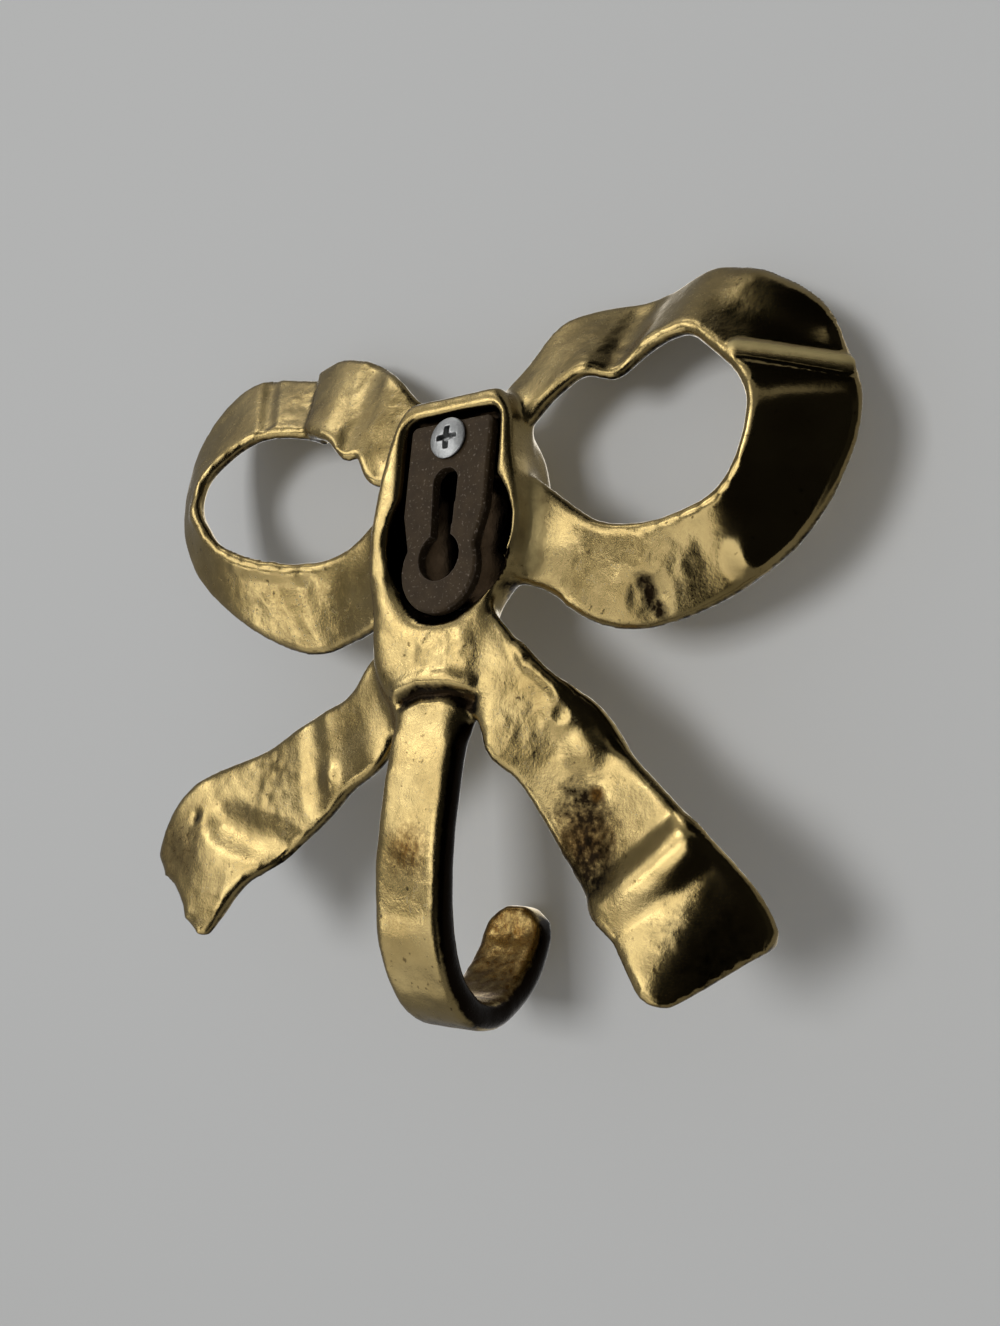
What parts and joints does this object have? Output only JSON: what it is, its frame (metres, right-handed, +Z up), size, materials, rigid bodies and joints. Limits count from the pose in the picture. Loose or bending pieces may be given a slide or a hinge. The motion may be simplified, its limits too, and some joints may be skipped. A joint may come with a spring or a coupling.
{
  "type": "wall hook",
  "caption": "Cast brass wall hook shaped as a tied ribbon bow with a flat strap hook below the knot, hung by a steel keyhole plate screwed into its back.",
  "frame": {"origin": "centre of the upper end of the keyhole slot, on the plate's wall-side face: the hang point", "axes": "+Z up as hung, +Y towards the wall, the front of the bow faces -Y"},
  "size_m": [0.1312, 0.0358, 0.1154],
  "materials": {
    "cast_brass": "polished and lacquered sand casting with brown patina in the creases",
    "browned_steel": "dark brown satin plating, worn along the edges",
    "zinc_steel": "dull zinc plating"
  },
  "bodies": {
    "root": {"bow_hook_casting": "cast_brass", "keyhole_plate": "browned_steel", "plate_screw": "zinc_steel"}
  },
  "joints": []
}
